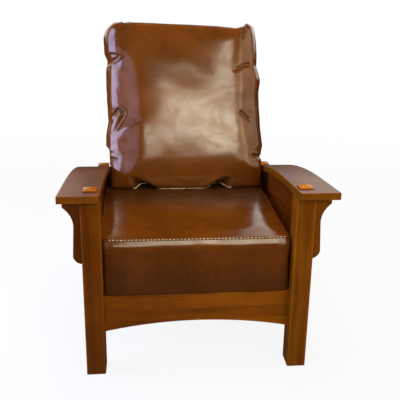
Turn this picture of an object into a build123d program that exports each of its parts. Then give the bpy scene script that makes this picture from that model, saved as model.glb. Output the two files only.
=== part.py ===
from build123d import *
from math import cos, radians, sin, sqrt, tan
import os

os.makedirs("parts", exist_ok=True)

# A reclining armchair in the mission manner. Millimetres, +Z up, the front faces -Y.
# The origin is on the floor under the middle of the chair's overall box.
# Lengthwise places below are measured back from the front legs' front faces.

# Legs
inside_width = 572.0
leg_width = 58.0
leg_depth = 66.0
leg_foot_bevel = 2.5
leg_edge_bevel = 1.5
arm_tenon_size = 41.0
arm_tenon_root = 20.0
cap_reveal = 3.0
cap_rise = 6.5
cap_tip = 1.0

# Arms
arm_width = 118.0
arm_thickness = 22.0
arm_front_overhang = 37.5
arm_rear_overhang = 66.0
arm_front_height = 597.0
arm_fall = 5.7
arm_straight_length = 236.0
arm_bow_radius = 2500.0
arm_edge_round = 2.0

# Joinery
fit_gap = 0.2
rail_tenon_length = 22.0
rail_tenon_thickness = 12.0
rail_tenon_shoulder = 12.0

# Corbels under the arms
corbel_thickness = 24.0
corbel_reach = 52.0
corbel_lip = 25.0
corbel_throat = 22.0
corbel_throat_drop = 84.0
corbel_toe = 27.0
corbel_strip_length = 91.0

# Side rails and spindles
side_rail_thickness = 22.0
side_top_rail_height = 78.0
side_rail_height = 100.0
spindle_count = 15
spindle_width = 19.0
spindle_housing = 8.0

# Front and rear rails
seat_rail_top = 250.0
front_rail_setback = 41.0
front_rail_thickness = 22.0
front_rail_height = 122.5
front_rail_arch = 29.0
rear_rail_thickness = 22.0
rail_edge_bevel = 1.5

# Seat deck
bearer_width = 32.0
bearer_height = 50.0
deck_slat_count = 6
deck_slat_width = 70.0
deck_slat_thickness = 14.0
deck_end_gap = 2.0

# Seat cushion
soft_gap = 0.3
seat_front_setback = 26.8
seat_depth = 565.0
seat_side_gap = 4.0
seat_thickness = 186.2
seat_crown = 8.0
seat_corner_round = 14.0
seat_end_round = 12.0

# Back frame
back_lean = 15.0
back_recline = 15.0
seat_pivot_gap = 25.2
pivot_leg_gap = 49.0
post_width = 30.0
post_depth = 32.0
post_over_slat = 48.0
post_foot = 28.0
post_corner_round = 10.0
back_slat_count = 4
back_slat_height = 76.0
back_slat_thickness = 14.0
back_slat_setback = 4.0
back_slat_tenon = 15.0
back_slat_tenon_shoulder = 8.0
back_slat_low = 262.0

# Back pivots
pivot_bolt_diameter = 10.0
pivot_running_gap = 0.08
pivot_spacer_thickness = 8.0
pivot_spacer_diameter = 26.0
pivot_side_gap = 0.3
pivot_head_diameter = 20.0
pivot_head_height = 6.0
pivot_head_bevel = 1.5
pivot_key_size = 6.0
pivot_key_depth = 3.5
pivot_bolt_reach = 26.0

# Back cushion
back_cushion_half_width = 277.0
back_cushion_edge = 140.0
back_cushion_crown = 168.0
back_cushion_top = 800.0
back_cushion_over_post = 30.0

# Support rod and its racks
rod_diameter = 12.7
rod_height = 405.0
rod_end_gap = 2.0
rod_end_bevel = 1.2
rod_post_gap = 0.3
rod_rack_gap = 0.4
rack_thickness = 18.0
rack_height = 58.0
rack_start = 3.0
rack_rear_margin = 20.0
rack_corner_round = 12.0
notch_count = 4
notch_radius = 6.6
notch_centre_rise = 4.0

# Places that follow from the sizes
lean = radians(back_lean)
fall = radians(arm_fall)
half_inside = inside_width / 2
half_outside = half_inside + leg_width
leg_middle_x = half_inside + leg_width / 2
pivot_setback = seat_front_setback + seat_depth + seat_pivot_gap
leg_spacing = pivot_setback + pivot_leg_gap - leg_depth
frame_depth = 2 * leg_depth + leg_spacing
seat_top = seat_rail_top + soft_gap + seat_thickness
pivot_height = seat_rail_top - deck_slat_thickness - bearer_height / 2
post_top = back_cushion_top - back_cushion_over_post
back_slat_high = post_top - post_over_slat
post_rear = pivot_setback + post_top * sin(lean) + post_depth / 2 * cos(lean)
rear_reach = max(post_rear, frame_depth + arm_rear_overhang)
front_y = (arm_front_overhang - rear_reach) / 2
pivot_y = front_y + pivot_setback
rear_leg_y = front_y + leg_depth + leg_spacing

# The arms' top line: straight at the front, then an arc that starts in line with it
arm_front_y = front_y - arm_front_overhang
arm_rear_y = front_y + frame_depth + arm_rear_overhang
bow_start_y = arm_front_y + arm_straight_length * cos(fall)
bow_start_z = arm_front_height - arm_straight_length * sin(fall)
bow_centre_y = bow_start_y - arm_bow_radius * sin(fall)
bow_centre_z = bow_start_z - arm_bow_radius * cos(fall)

# The back frame's own plane: X across, Y up the posts from the pivot, Z out of its front
back_plane = Plane(
    origin=(0, pivot_y, pivot_height),
    x_dir=(1, 0, 0),
    z_dir=(0, -cos(lean), sin(lean)),
)

finished = []


def keep(piece, name):
    """Label a finished piece and remember it for writing."""
    piece.part.label = name
    finished.append(piece)


def keep_pair(right_piece, name):
    """Keep a right-hand piece, and its mirror image for the left."""
    with BuildPart() as left_piece:
        mirror(right_piece.part, about=Plane.YZ)
    keep(left_piece, name + "_left")
    keep(right_piece, name + "_right")


def arm_height(y, depth):
    """Height at the lengthwise place y of a line that runs depth below the arms' top line."""
    radius = arm_bow_radius - depth
    if y < bow_centre_y + radius * sin(fall):
        return arm_front_height - (y - arm_front_y) * tan(fall) - depth / cos(fall)
    return bow_centre_z + sqrt(radius**2 - (y - bow_centre_y) ** 2)


def bowed_face(start_y, end_y, top_depth, bottom_depth):
    """Face between two lines that follow the arms' top line, with upright ends."""
    with BuildLine() as outline:
        corners = []
        for depth in (top_depth, bottom_depth):
            bend_y = bow_centre_y + (arm_bow_radius - depth) * sin(fall)
            middle_y = (bend_y + end_y) / 2
            start = (start_y, arm_height(start_y, depth))
            bend = (bend_y, arm_height(bend_y, depth))
            middle = (middle_y, arm_height(middle_y, depth))
            end = (end_y, arm_height(end_y, depth))
            Line(start, bend)
            ThreePointArc(bend, middle, end)
            corners.append((start, end))
        Line(corners[0][0], corners[1][0])
        Line(corners[0][1], corners[1][1])
    return make_face(outline.edges())


# Arms, with a mortise for each leg's tenon
with BuildPart() as arm:
    with BuildSketch(Plane.YZ.offset(half_inside)):
        bowed_face(arm_front_y, arm_rear_y, 0, arm_thickness)
    extrude(amount=arm_width)
    cross_edges = arm.edges().filter_by(Axis.X)
    fillet(cross_edges.group_by(Axis.Y)[0] + cross_edges.group_by(Axis.Y)[-1], arm_edge_round)
    fillet(arm.faces().filter_by(Axis.X).edges(), arm_edge_round)
    arm_mortise = arm_tenon_size + 2 * fit_gap
    for leg_y in (front_y, rear_leg_y):
        with Locations((leg_middle_x, leg_y + leg_depth / 2, arm_front_height)):
            Box(arm_mortise, arm_mortise, arm_front_height, mode=Mode.SUBTRACT)
keep_pair(arm, "arm")

# Places of the side rails and spindles
side_rail_x = leg_middle_x - side_rail_thickness / 2
side_start_y = front_y + leg_depth
side_end_y = rear_leg_y
side_tenon_bottom = seat_rail_top - side_rail_height + rail_tenon_shoulder
side_tenon_top = seat_rail_top - rail_tenon_shoulder
top_rail_depth = arm_thickness + side_top_rail_height
front_tenon_bottom = seat_rail_top - front_rail_height + rail_tenon_shoulder
front_rail_y = front_y + front_rail_setback
rear_rail_y = rear_leg_y + (leg_depth - rear_rail_thickness) / 2
spindle_gap = (leg_spacing - spindle_count * spindle_width) / (spindle_count + 1)
spindle_places = [
    side_start_y + spindle_gap + spindle_width / 2 + i * (spindle_width + spindle_gap)
    for i in range(spindle_count)
]


def top_tenon_heights(y):
    """Bottom and top of a side top rail's tenon where it enters a leg at y."""
    bottom = arm_height(y, top_rail_depth) + rail_tenon_shoulder
    return bottom, arm_height(y, arm_thickness) - rail_tenon_shoulder


def add_block(x_range, y_range, z_range, gap=0.0, mode=Mode.ADD):
    """Rectangular block between two limits each way, grown all round by a gap."""
    limits = (x_range, y_range, z_range)
    centre = tuple((low + high) / 2 for low, high in limits)
    sides = [abs(high - low) + 2 * gap for low, high in limits]
    with Locations(centre):
        Box(*sides, mode=mode)


def build_leg(leg_y, rail_side_y, cross_rail_y, cross_rail_thickness, cross_tenon_bottom):
    """Right-hand leg: shoulder under the arm, capped tenon through it, rail mortises."""
    rear_y = leg_y + leg_depth
    middle_y = leg_y + leg_depth / 2
    tenon_start = arm_height(rear_y, arm_thickness) - arm_tenon_root
    cap_base = arm_height(middle_y - arm_tenon_size / 2, 0) + cap_reveal
    into_leg = rail_tenon_length if rail_side_y == leg_y else -rail_tenon_length
    cross_middle = cross_rail_y + cross_rail_thickness / 2
    half_tenon = rail_tenon_thickness / 2
    with BuildPart() as leg:
        with BuildSketch(Plane.YZ.offset(half_inside)):
            Polygon(
                (leg_y, 0),
                (rear_y, 0),
                (rear_y, arm_height(rear_y, arm_thickness)),
                (leg_y, arm_height(leg_y, arm_thickness)),
                align=None,
            )
        extrude(amount=leg_width)
        chamfer(leg.faces().sort_by(Axis.Z)[0].edges(), leg_foot_bevel)
        chamfer(leg.edges().filter_by(Axis.Z), leg_edge_bevel)
        with BuildSketch(Plane.XY.offset(tenon_start)):
            with Locations((leg_middle_x, middle_y)):
                Rectangle(arm_tenon_size, arm_tenon_size)
        extrude(amount=cap_base - tenon_start)
        with BuildSketch(Plane.XY.offset(cap_base)):
            with Locations((leg_middle_x, middle_y)):
                Rectangle(arm_tenon_size, arm_tenon_size)
        with BuildSketch(Plane.XY.offset(cap_base + cap_rise)):
            with Locations((leg_middle_x, middle_y)):
                Rectangle(cap_tip, cap_tip)
        loft()
        across = (leg_middle_x - half_tenon, leg_middle_x + half_tenon)
        along = (rail_side_y, rail_side_y + into_leg)
        add_block(across, along, top_tenon_heights(rail_side_y), fit_gap, Mode.SUBTRACT)
        add_block(across, along, (side_tenon_bottom, side_tenon_top), fit_gap, Mode.SUBTRACT)
        add_block(
            (half_inside, half_inside + rail_tenon_length),
            (cross_middle - half_tenon, cross_middle + half_tenon),
            (cross_tenon_bottom, side_tenon_top),
            fit_gap,
            Mode.SUBTRACT,
        )
    return leg


# Legs
front_leg = build_leg(
    front_y, side_start_y, front_rail_y, front_rail_thickness, front_tenon_bottom
)
keep_pair(front_leg, "leg_front")
rear_leg = build_leg(
    rear_leg_y, rear_leg_y, rear_rail_y, rear_rail_thickness, side_tenon_bottom
)
keep_pair(rear_leg, "leg_rear")

# Corbels: a lip, a hollow curve, a strip that swells downwards and a rounded toe
corbel_y = front_y + (leg_depth - corbel_thickness) / 2
corbel_top = arm_height(corbel_y, arm_thickness)
corbel_cut = Plane(
    origin=(half_outside, corbel_y, corbel_top),
    x_dir=(1, 0, 0),
    z_dir=(0, sin(fall), cos(fall)),
)
corbel_toe_drop = corbel_throat_drop + corbel_strip_length
hollow_width = corbel_reach - corbel_throat
hollow_drop = corbel_throat_drop - corbel_lip
hollow_radius = (hollow_width**2 + hollow_drop**2) / (2 * hollow_width)
with BuildPart() as corbel:
    with BuildSketch(Plane.XZ.offset(-corbel_y - corbel_thickness)):
        with BuildLine():
            top_inner = (half_outside, corbel_top)
            top_outer = (half_outside + corbel_reach, corbel_top)
            lip_end = (half_outside + corbel_reach, corbel_top - corbel_lip)
            throat = (half_outside + corbel_throat, corbel_top - corbel_throat_drop)
            toe = (half_outside + corbel_toe, corbel_top - corbel_toe_drop)
            toe_end = (half_outside, corbel_top - corbel_toe_drop - corbel_toe)
            Polyline(toe_end, top_inner, top_outer, lip_end)
            RadiusArc(lip_end, throat, -hollow_radius)
            Line(throat, toe)
            RadiusArc(toe, toe_end, corbel_toe)
        make_face()
    extrude(amount=corbel_thickness)
    split(bisect_by=corbel_cut, keep=Keep.BOTTOM)
keep_pair(corbel, "corbel")

# Side top rails, with housings for the spindles
with BuildPart() as side_top_rail:
    with BuildSketch(Plane.YZ.offset(side_rail_x)):
        bowed_face(side_start_y, side_end_y, arm_thickness + fit_gap, top_rail_depth)
    extrude(amount=side_rail_thickness)
    tenon_x = (leg_middle_x - rail_tenon_thickness / 2, leg_middle_x + rail_tenon_thickness / 2)
    for end_y, tip_y in (
        (side_start_y, side_start_y - rail_tenon_length),
        (side_end_y, side_end_y + rail_tenon_length),
    ):
        add_block(tenon_x, (end_y, tip_y), top_tenon_heights(end_y))
    for y in spindle_places:
        housing_top = arm_height(y, top_rail_depth) + spindle_housing + fit_gap
        add_block(
            (leg_middle_x - spindle_width / 2 - fit_gap, leg_middle_x + spindle_width / 2 + fit_gap),
            (y - spindle_width / 2 - fit_gap, y + spindle_width / 2 + fit_gap),
            (housing_top - 2 * spindle_housing, housing_top),
            mode=Mode.SUBTRACT,
        )
keep_pair(side_top_rail, "side_top_rail")

# Side bottom rails
with BuildPart() as side_rail:
    add_block(
        (side_rail_x, side_rail_x + side_rail_thickness),
        (side_start_y, side_end_y),
        (seat_rail_top - side_rail_height, seat_rail_top),
    )
    add_block(
        tenon_x,
        (side_start_y - rail_tenon_length, side_end_y + rail_tenon_length),
        (side_tenon_bottom, side_tenon_top),
    )
    for y in spindle_places:
        add_block(
            (leg_middle_x - spindle_width / 2 - fit_gap, leg_middle_x + spindle_width / 2 + fit_gap),
            (y - spindle_width / 2 - fit_gap, y + spindle_width / 2 + fit_gap),
            (seat_rail_top - spindle_housing - fit_gap, seat_rail_top + spindle_housing),
            mode=Mode.SUBTRACT,
        )
keep_pair(side_rail, "side_bottom_rail")

# Spindles, numbered from the front
for number, y in enumerate(spindle_places, start=1):
    spindle_top = arm_height(y, top_rail_depth) + spindle_housing
    spindle_bottom = seat_rail_top - spindle_housing
    with BuildPart() as spindle:
        with BuildSketch(Plane.XY.offset(spindle_bottom)):
            with Locations((leg_middle_x, y)):
                Rectangle(spindle_width, spindle_width)
        extrude(amount=spindle_top - spindle_bottom)
    keep_pair(spindle, f"spindle_{number:02d}")

# Front rail, with an arched bottom edge
with BuildPart() as front_rail:
    with BuildSketch(Plane.XZ.offset(-front_rail_y - front_rail_thickness)):
        with BuildLine():
            arch_foot = seat_rail_top - front_rail_height
            Polyline(
                (-half_inside, arch_foot),
                (-half_inside, seat_rail_top),
                (half_inside, seat_rail_top),
                (half_inside, arch_foot),
            )
            ThreePointArc(
                (half_inside, arch_foot),
                (0, arch_foot + front_rail_arch),
                (-half_inside, arch_foot),
            )
        make_face()
    extrude(amount=front_rail_thickness)
    chamfer(front_rail.edges().filter_by(Axis.X), rail_edge_bevel)
    front_tenon_y = front_rail_y + front_rail_thickness / 2
    for side in (-1, 1):
        add_block(
            (side * half_inside, side * (half_inside + rail_tenon_length)),
            (front_tenon_y - rail_tenon_thickness / 2, front_tenon_y + rail_tenon_thickness / 2),
            (front_tenon_bottom, side_tenon_top),
        )
keep(front_rail, "front_rail")

# Rear rail
with BuildPart() as rear_rail:
    add_block(
        (-half_inside, half_inside),
        (rear_rail_y, rear_rail_y + rear_rail_thickness),
        (seat_rail_top - side_rail_height, seat_rail_top),
    )
    rear_tenon_y = rear_rail_y + rear_rail_thickness / 2
    add_block(
        (-half_inside - rail_tenon_length, half_inside + rail_tenon_length),
        (rear_tenon_y - rail_tenon_thickness / 2, rear_tenon_y + rail_tenon_thickness / 2),
        (side_tenon_bottom, side_tenon_top),
    )
keep(rear_rail, "rear_rail")

# Seat bearers, bored for the pivot bolts
bearer_top = seat_rail_top - deck_slat_thickness
bearer_x = side_rail_x - bearer_width
bolt_tip_x = bearer_x + pivot_bolt_reach
bolt_bore = pivot_bolt_diameter + 2 * pivot_running_gap
with BuildPart() as bearer:
    add_block(
        (bearer_x, side_rail_x),
        (side_start_y + fit_gap, side_end_y - fit_gap),
        (bearer_top - bearer_height, bearer_top),
    )
    with BuildSketch(Plane.YZ.offset(bearer_x)):
        with Locations((pivot_y, pivot_height)):
            Circle(bolt_bore / 2)
    extrude(amount=pivot_bolt_reach + fit_gap, mode=Mode.SUBTRACT)
keep_pair(bearer, "seat_bearer")

# Deck slats, from the front rail to the seat cushion's back
deck_start = side_start_y + deck_end_gap
deck_end = front_y + seat_front_setback + seat_depth
deck_pitch = (deck_end - deck_start - deck_slat_width) / (deck_slat_count - 1)
with BuildPart() as deck:
    for i in range(deck_slat_count):
        slat_y = deck_start + i * deck_pitch
        add_block(
            (-side_rail_x + fit_gap, side_rail_x - fit_gap),
            (slat_y, slat_y + deck_slat_width),
            (bearer_top, seat_rail_top),
        )
keep(deck, "deck_slats")


# Seat cushion: drawn in at both ends, crowned where it is sat on, flat under the back cushion.
# Each row gives a place from front to back, how far the section is drawn in, and its crown.
seat_front_y = front_y + seat_front_setback
seat_back_y = seat_front_y + seat_depth
seat_flat_y = pivot_y - back_cushion_edge
seat_sit_y = (seat_front_y + seat_flat_y) / 2
seat_slim_crown = seat_crown / 4
seat_sections = (
    (seat_front_y, seat_end_round, seat_slim_crown),
    (seat_front_y + seat_end_round / 4, seat_end_round / 3, seat_slim_crown),
    (seat_front_y + seat_end_round, 0, seat_slim_crown),
    ((seat_front_y + seat_sit_y) / 2, 0, seat_crown * 3 / 4),
    (seat_sit_y, 0, seat_crown),
    ((seat_sit_y + seat_flat_y) / 2, 0, seat_crown * 3 / 4),
    (seat_flat_y - seat_end_round, 0, soft_gap),
    (seat_back_y - seat_end_round, 0, soft_gap),
    (seat_back_y, seat_end_round / 2, soft_gap),
)
corner_ease = seat_corner_round * (1 - sqrt(2) / 2)
with BuildPart() as seat_cushion:
    for y, inset, crown in seat_sections:
        half_width = half_inside - seat_side_gap - inset
        low = seat_rail_top + soft_gap + inset
        high = seat_top - inset
        flat_x = half_width - seat_corner_round
        with BuildSketch(Plane.XZ.offset(-y)):
            with BuildLine():
                for side in (-1, 1):
                    inner = side * flat_x
                    outer = side * half_width
                    corner_x = side * (half_width - corner_ease)
                    low_corner = (corner_x, low + corner_ease)
                    high_corner = (corner_x, high - corner_ease)
                    ThreePointArc((inner, low), low_corner, (outer, low + seat_corner_round))
                    Line((outer, low + seat_corner_round), (outer, high - seat_corner_round))
                    ThreePointArc((outer, high - seat_corner_round), high_corner, (inner, high))
                Line((-flat_x, low), (flat_x, low))
                ThreePointArc((-flat_x, high), (0, high + crown), (flat_x, high))
            make_face()
    loft(ruled=True)
keep(seat_cushion, "seat_cushion")

# Back posts, bored for the pivot bolts
post_outer_x = bearer_x - pivot_spacer_thickness
post_inner_x = post_outer_x - post_width
back_slat_front = post_depth / 2 - back_slat_setback
back_slat_pitch = (back_slat_high - back_slat_low) / (back_slat_count - 1)
back_slat_places = [back_slat_low + i * back_slat_pitch for i in range(back_slat_count)]
back_tenon_height = back_slat_height - 2 * back_slat_tenon_shoulder
with BuildPart() as post:
    with BuildSketch(back_plane.offset(-post_depth / 2)):
        with Locations(((post_outer_x + post_inner_x) / 2, (post_top - post_foot) / 2)):
            Rectangle(post_width, post_top + post_foot)
    extrude(amount=post_depth)
    top_edges = post.faces().sort_by(Axis.Z)[-1].edges()
    fillet(top_edges.filter_by(Axis.X, reverse=True), post_corner_round)
    foot_edges = post.faces().sort_by(Axis.Z)[0].edges()
    fillet(foot_edges.filter_by(Axis.X), post_corner_round)
    with BuildSketch(Plane.YZ.offset(post_inner_x)):
        with Locations((pivot_y, pivot_height)):
            Circle(bolt_bore / 2)
    extrude(amount=post_width, mode=Mode.SUBTRACT)
    for place in back_slat_places:
        with BuildSketch(back_plane.offset(back_slat_front - back_slat_thickness - fit_gap)):
            with Locations((post_inner_x, place)):
                Rectangle(2 * (back_slat_tenon + fit_gap), back_tenon_height + 2 * fit_gap)
        extrude(amount=back_slat_thickness + 2 * fit_gap, mode=Mode.SUBTRACT)
keep_pair(post, "back_post")

# Back slats, numbered from the bottom
for number, place in enumerate(back_slat_places, start=1):
    with BuildPart() as back_slat:
        with BuildSketch(back_plane.offset(back_slat_front - back_slat_thickness)):
            with Locations((0, place)):
                Rectangle(2 * post_inner_x, back_slat_height)
                Rectangle(2 * (post_inner_x + back_slat_tenon), back_tenon_height)
        extrude(amount=back_slat_thickness)
    keep(back_slat, f"back_slat_{number}")

# Pivot bolts, each with a bevelled round head and a hexagonal key socket
head_x = post_inner_x - pivot_side_gap
with BuildPart() as bolt:
    with BuildSketch(Plane.YZ.offset(head_x)):
        with Locations((pivot_y, pivot_height)):
            Circle(pivot_bolt_diameter / 2)
    extrude(amount=bolt_tip_x - head_x)
    with BuildSketch(Plane.YZ.offset(head_x - pivot_head_height)):
        with Locations((pivot_y, pivot_height)):
            Circle(pivot_head_diameter / 2)
    extrude(amount=pivot_head_height)
    chamfer(bolt.faces().sort_by(Axis.X)[0].edges(), pivot_head_bevel)
    with BuildSketch(Plane.YZ.offset(head_x - pivot_head_height)):
        with Locations((pivot_y, pivot_height)):
            RegularPolygon(pivot_key_size / 2, 6, major_radius=False)
    extrude(amount=pivot_key_depth, mode=Mode.SUBTRACT)
with BuildPart() as bolts:
    add(bolt.part)
    mirror(bolt.part, about=Plane.YZ)
keep(bolts, "pivot_bolts")

# Pivot spacers, against the bearers
with BuildPart() as spacer:
    with BuildSketch(Plane.YZ.offset(post_outer_x + pivot_side_gap)):
        with Locations((pivot_y, pivot_height)):
            Circle(pivot_spacer_diameter / 2)
            Circle(bolt_bore / 2, mode=Mode.SUBTRACT)
    extrude(amount=pivot_spacer_thickness - pivot_side_gap)
with BuildPart() as spacers:
    add(spacer.part)
    mirror(spacer.part, about=Plane.YZ)
keep(spacers, "pivot_spacers")

# Back cushion: sections that tip from level at the seat to square with the frame at the top.
# Each row gives shares: height, half width, rear edge, front edge and crown.
cushion_shares = (
    (0.00, 0.955, 0.00, 0.98, 0.96),
    (0.06, 0.985, 0.00, 1.00, 0.99),
    (0.22, 1.000, 0.00, 1.00, 1.00),
    (0.42, 0.995, 0.00, 1.00, 1.00),
    (0.60, 0.985, 0.00, 0.98, 1.00),
    (0.76, 0.972, 0.00, 0.96, 0.98),
    (0.82, 0.968, 0.00, 0.95, 0.97),
    (0.90, 0.995, 0.00, 0.94, 0.93),
    (0.96, 0.990, 0.05, 0.84, 0.84),
    (1.00, 0.950, 0.20, 0.62, 0.62),
)
side_swell_share = 0.93
side_middle_share = 0.5
cushion_rear = post_depth / 2 + soft_gap
cushion_floor = seat_top + 2 * soft_gap
cushion_low = (cushion_floor - pivot_height - cushion_rear * sin(lean)) / cos(lean)
with BuildPart() as back_cushion:
    for height, width, rear, edge, crown in cushion_shares:
        place = cushion_low + height * (back_cushion_top - cushion_low)
        tip = lean * height
        section_plane = Plane(
            origin=back_plane.from_local_coords(Vector(0, place, cushion_rear)),
            x_dir=(1, 0, 0),
            z_dir=(0, sin(tip), cos(tip)),
        )
        stretch = 1 / cos(lean - tip)
        half_width = back_cushion_half_width * width
        slim_width = half_width * side_swell_share
        rear_y = -back_cushion_edge * rear * stretch
        edge_y = -back_cushion_edge * edge * stretch
        crown_y = -back_cushion_crown * crown * stretch
        middle_y = rear_y + (edge_y - rear_y) * side_middle_share
        with BuildSketch(section_plane):
            with BuildLine():
                Line((-slim_width, rear_y), (slim_width, rear_y))
                ThreePointArc((slim_width, rear_y), (half_width, middle_y), (slim_width, edge_y))
                ThreePointArc((slim_width, edge_y), (0, crown_y), (-slim_width, edge_y))
                ThreePointArc((-slim_width, edge_y), (-half_width, middle_y), (-slim_width, rear_y))
            make_face()
    loft(ruled=True)
keep(back_cushion, "back_cushion")


def rod_place(angle):
    """Lengthwise place of the rod where it touches the posts at this lean, in radians."""
    reach = post_depth / 2 + rod_diameter / 2 + rod_post_gap
    return pivot_y + (reach + (rod_height - pivot_height) * sin(angle)) / cos(angle)


# Support rod
rod_start = rod_place(lean)
rod_end = rod_place(lean + radians(back_recline))
rod_half_length = half_inside - rod_end_gap
with BuildPart() as rod:
    with BuildSketch(Plane.YZ.offset(-rod_half_length)):
        with Locations((rod_start, rod_height)):
            Circle(rod_diameter / 2)
    extrude(amount=2 * rod_half_length)
    chamfer(rod.faces().filter_by(Axis.X).edges(), rod_end_bevel)
keep(rod, "support_rod")

# Rod racks, with evenly spaced notches from the first place of the rod to the last
rack_top = rod_height - rod_diameter / 2 - rod_rack_gap
rack_y = rear_leg_y + rack_start
rack_rear_y = rod_end + rack_rear_margin
with BuildPart() as rack:
    add_block(
        (half_inside - rack_thickness, half_inside),
        (rack_y, rack_rear_y),
        (rack_top - rack_height, rack_top),
    )
    fillet(rack.edges().filter_by(Axis.X).group_by(Axis.Y)[-1], rack_corner_round)
    with BuildSketch(Plane.YZ.offset(half_inside - rack_thickness)):
        for i in range(notch_count):
            notch_y = rod_start + i * (rod_end - rod_start) / (notch_count - 1)
            with Locations((notch_y, rack_top + notch_centre_rise)):
                Circle(notch_radius)
    extrude(amount=rack_thickness, mode=Mode.SUBTRACT)
keep_pair(rack, "rod_rack")

print("rod travel", rod_end - rod_start, "per radian", (rod_end - rod_start) / radians(back_recline))
print("pivot", pivot_y, pivot_height, "rod", rod_start, rod_height, "front legs", front_y)

for piece in finished:
    export_step(piece.part, f"parts/{piece.part.label}.step")
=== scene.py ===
"""Mission reclining armchair: finishes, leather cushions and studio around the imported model."""
import math

import bpy
import numpy as np
from bpy.props import FloatProperty, FloatVectorProperty, PointerProperty
from bpy.types import Operator, Panel, PropertyGroup
from mathutils import Matrix, Quaternion, Vector


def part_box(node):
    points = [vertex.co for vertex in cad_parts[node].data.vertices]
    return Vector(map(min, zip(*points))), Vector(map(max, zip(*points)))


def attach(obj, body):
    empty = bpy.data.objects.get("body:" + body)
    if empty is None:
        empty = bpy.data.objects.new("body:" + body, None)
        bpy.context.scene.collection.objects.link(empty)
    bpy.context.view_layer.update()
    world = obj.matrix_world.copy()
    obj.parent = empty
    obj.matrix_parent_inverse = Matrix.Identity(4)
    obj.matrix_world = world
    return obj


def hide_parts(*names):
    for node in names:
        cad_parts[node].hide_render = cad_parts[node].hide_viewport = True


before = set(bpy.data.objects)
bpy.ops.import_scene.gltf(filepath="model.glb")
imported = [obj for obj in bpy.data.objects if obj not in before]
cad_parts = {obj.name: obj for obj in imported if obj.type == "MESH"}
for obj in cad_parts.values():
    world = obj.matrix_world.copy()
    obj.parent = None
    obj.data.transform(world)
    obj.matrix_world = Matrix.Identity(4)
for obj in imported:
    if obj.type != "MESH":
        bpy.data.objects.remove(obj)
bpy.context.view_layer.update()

bl_info = {
    "name": "Mission reclining armchair",
    "version": (1, 0, 0),
    "blender": (4, 5, 0),
    "location": "View3D > Sidebar > Armchair",
    "description": "Stained wood, leather cushions with seams, and a plain studio",
    "category": "Object",
}

SEAT_LOW, SEAT_HIGH = (np.array(corner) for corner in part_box("seat_cushion"))
BACK_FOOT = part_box("back_cushion")[0][2]
LEAN = math.radians(15)
PIVOT = np.mean(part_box("pivot_bolts"), axis=0).round(5)
UP_BACK = np.array((0.0, math.sin(LEAN), math.cos(LEAN)))
OUT_BACK = np.array((0.0, -math.cos(LEAN), math.sin(LEAN)))


# Colours and node trees


def tone(code):
    """Scene-linear colour of a six-digit screen colour, by the usual screen curve."""
    parts = np.array([int(code[i:i + 2], 16) for i in (0, 2, 4)]) / 255
    return tuple(np.where(parts <= 0.04045, parts / 12.92, ((parts + 0.055) / 1.055) ** 2.4))


class Wire:
    """A socket in a material; sums, products and the like on it add Math nodes."""

    def __init__(self, finish, socket):
        self.finish = finish
        self.socket = socket

    def maths(self, operation, *values):
        return self.finish.add("ShaderNodeMath", {"operation": operation}, dict(enumerate(values)))

    def __add__(self, other):
        return self.maths("ADD", self, other)

    __radd__ = __add__

    def __sub__(self, other):
        return self.maths("SUBTRACT", self, other)

    def __rsub__(self, other):
        return self.maths("SUBTRACT", other, self)

    def __mul__(self, other):
        return self.maths("MULTIPLY", self, other)

    __rmul__ = __mul__

    def __abs__(self):
        return self.maths("ABSOLUTE", self)

    def highest(self, other):
        return self.maths("MAXIMUM", self, other)

    def lowest(self, other):
        return self.maths("MINIMUM", self, other)

    def between(self, low, high):
        """0 below low, 1 above high, with a smooth rise from one to the other."""
        values = {"Value": self, "From Min": low, "From Max": high}
        return self.finish.add("ShaderNodeMapRange", {"interpolation_type": "SMOOTHSTEP"}, values)


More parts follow.
